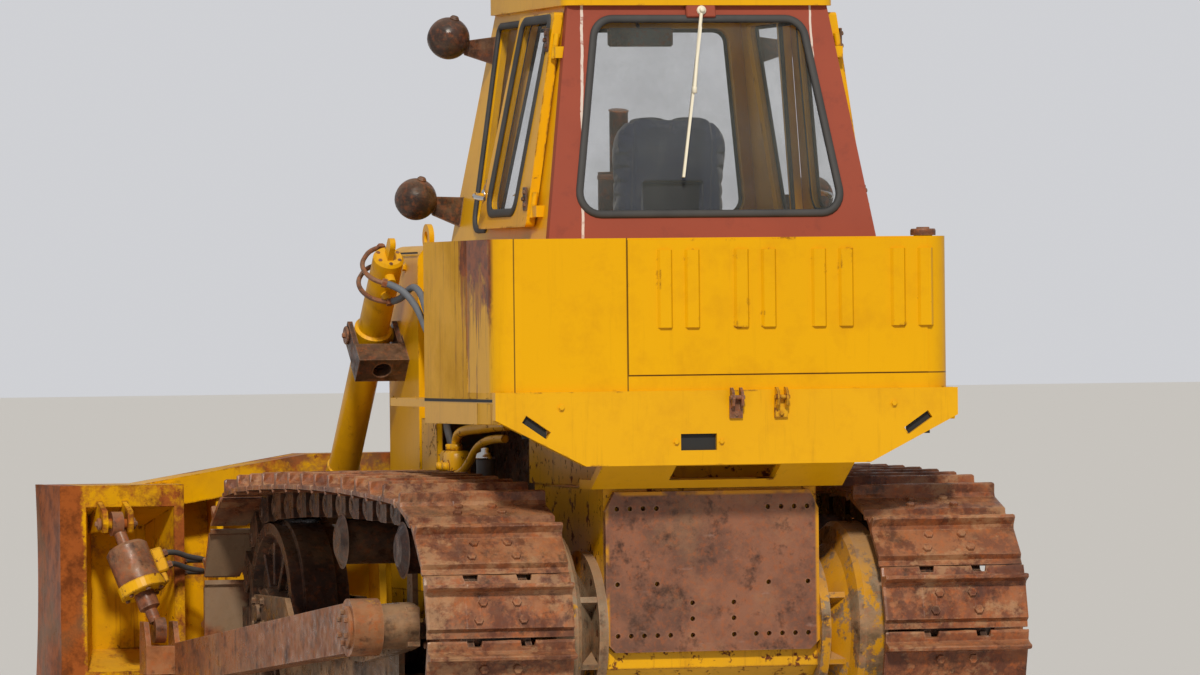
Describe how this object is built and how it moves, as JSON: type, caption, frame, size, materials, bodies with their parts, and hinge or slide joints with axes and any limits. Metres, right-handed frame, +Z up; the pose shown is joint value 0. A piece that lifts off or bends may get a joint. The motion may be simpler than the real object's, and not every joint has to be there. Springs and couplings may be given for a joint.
{
  "type": "crawler bulldozer",
  "caption": "Crawler bulldozer with a closed cab, tracks with sprockets and idlers, and a straight blade on push arms with lift and tilt cylinders.",
  "frame": {"origin": "on the ground, under the middle of the machine's overall box", "axes": "+Y forward, towards the blade; +X to the machine's right; +Z up"},
  "size_m": [3.3, 4.2292, 2.877],
  "materials": {
    "yellow_paint": "weathered gloss",
    "worn_paint": "worn and dusty",
    "primer_paint": "matt primer",
    "rusty_steel": "rusty",
    "track_steel": "rusty and worn",
    "dark_steel": "dull",
    "rod_chrome": "polished",
    "glass": "clear",
    "seat_cover": "woven"
  },
  "bodies": {
    "machine": {"track_left": "track_steel", "track_right": "track_steel", "sprocket_left": "track_steel", "sprocket_right": "track_steel", "idler_left": "track_steel", "idler_right": "track_steel", "rollers_left": "track_steel", "rollers_right": "track_steel", "track_frame_left": "worn_paint", "track_frame_right": "worn_paint", "final_drive_left": "worn_paint", "final_drive_right": "worn_paint", "main_case": "worn_paint", "rear_plate": "rusty_steel", "main_frame": "worn_paint", "engine": "dark_steel", "deck": "yellow_paint", "rear_tank": "yellow_paint", "side_box_left": "yellow_paint", "side_box_right": "yellow_paint", "rear_bumper": "rusty_steel", "hood": "yellow_paint", "radiator_guard": "yellow_paint", "radiator": "dark_steel", "grille": "dark_steel", "exhaust": "dark_steel", "air_cleaner": "dark_steel", "cab_rear_wall": "primer_paint", "cab_front_wall": "yellow_paint", "rear_pane": "glass", "front_pane": "glass", "cab_side_left": "yellow_paint", "cab_side_right": "yellow_paint", "side_panes": "glass", "cab_roof": "yellow_paint", "cowl": "yellow_paint", "seat_frame": "dark_steel", "seat_cushion": "seat_cover", "seat_back": "seat_cover", "controls": "dark_steel", "work_lamps_left": "dark_steel", "work_lamps_right": "dark_steel", "lift_yoke_left": "rusty_steel", "lift_yoke_right": "rusty_steel"},
    "arm_right": {"push_arm_right": "worn_paint"},
    "arm_left": {"push_arm_left": "worn_paint"},
    "blade": {"blade": "worn_paint", "blade_frame": "worn_paint", "cutting_edge": "rusty_steel", "blade_brace": "rusty_steel"},
    "lift_barrel_left": {"lift_barrel_left": "yellow_paint"},
    "lift_barrel_right": {"lift_barrel_right": "yellow_paint"},
    "lift_rod_left": {"lift_rod_left": "rod_chrome"},
    "lift_rod_right": {"lift_rod_right": "rod_chrome"},
    "tilt_barrel": {"tilt_barrel": "rusty_steel"},
    "tilt_rod": {"tilt_rod": "rod_chrome"},
    "door_left": {"door_left": "yellow_paint", "door_pane_left": "glass"},
    "door_right": {"door_right": "yellow_paint", "door_pane_right": "glass"}
  },
  "joints": [
    {"name": "blade_lift", "type": "hinge", "parent": "machine", "child": "arm_right", "pos_m": [1.21, -1.48941, 0.56], "axis": [1, 0, 0], "range_deg": [-5, 10]},
    {"name": "blade_tilt", "type": "hinge", "parent": "arm_right", "child": "blade", "pos_m": [1.21, 1.46559, 0.315], "axis": [0, 1, 0], "range_deg": [-2.5, 2.5]},
    {"name": "arm_left_swing", "type": "hinge", "parent": "arm_right", "child": "arm_left", "pos_m": [-1.21, -1.48941, 0.56], "axis": [1, 0, 0], "range_deg": [-2.5, 2.5]},
    {"name": "lift_barrel_swing_left", "type": "hinge", "parent": "machine", "child": "lift_barrel_left", "pos_m": [-0.55, 0.88659, 1.606], "axis": [1, 0, 0], "range_deg": [-9.48, 18.66]},
    {"name": "lift_rod_slide_left", "type": "slide", "parent": "lift_barrel_left", "child": "lift_rod_left", "axis": [0, 0.6713, -0.7412], "range_m": [-0.4132, 0.2076]},
    {"name": "lift_barrel_swing_right", "type": "hinge", "parent": "machine", "child": "lift_barrel_right", "pos_m": [0.55, 0.88659, 1.606], "axis": [1, 0, 0], "range_deg": [-9.48, 18.66]},
    {"name": "lift_rod_slide_right", "type": "slide", "parent": "lift_barrel_right", "child": "lift_rod_right", "axis": [0, 0.6713, -0.7412], "range_m": [-0.4132, 0.2076]},
    {"name": "tilt_barrel_swing", "type": "hinge", "parent": "blade", "child": "tilt_barrel", "pos_m": [-1.44, 1.49059, 0.875], "axis": [0.6146, 0.7813, -0.1087], "range_deg": [-1.56, 1.56]},
    {"name": "tilt_rod_slide", "type": "slide", "parent": "tilt_barrel", "child": "tilt_rod", "axis": [0.2805, -0.3453, -0.8956], "range_m": [-0.0073, 0.0073]},
    {"name": "door_swing_left", "type": "hinge", "parent": "machine", "child": "door_left", "pos_m": [-0.61725, -1.72182, 2.07], "axis": [0.1483, -0.0051, 0.9889], "range_deg": [0, 100]},
    {"name": "door_swing_right", "type": "hinge", "parent": "machine", "child": "door_right", "pos_m": [0.61725, -1.72182, 2.07], "axis": [-0.1483, -0.0051, 0.9889], "range_deg": [-100, 0]}
  ],
  "couplings": [
    {"joint": "arm_left_swing", "follows": "blade_tilt", "ratio": 0.80995},
    {"joint": "lift_barrel_swing_left", "follows": "blade_lift", "ratio": 1.8361},
    {"joint": "lift_rod_slide_left", "follows": "blade_lift", "m_per_rad": -2.3561},
    {"joint": "lift_barrel_swing_right", "follows": "blade_lift", "ratio": 1.8361},
    {"joint": "lift_rod_slide_right", "follows": "blade_lift", "m_per_rad": -2.3561},
    {"joint": "tilt_barrel_swing", "follows": "blade_tilt", "ratio": 0.54297},
    {"joint": "tilt_rod_slide", "follows": "blade_tilt", "m_per_rad": 0.14431}
  ]
}
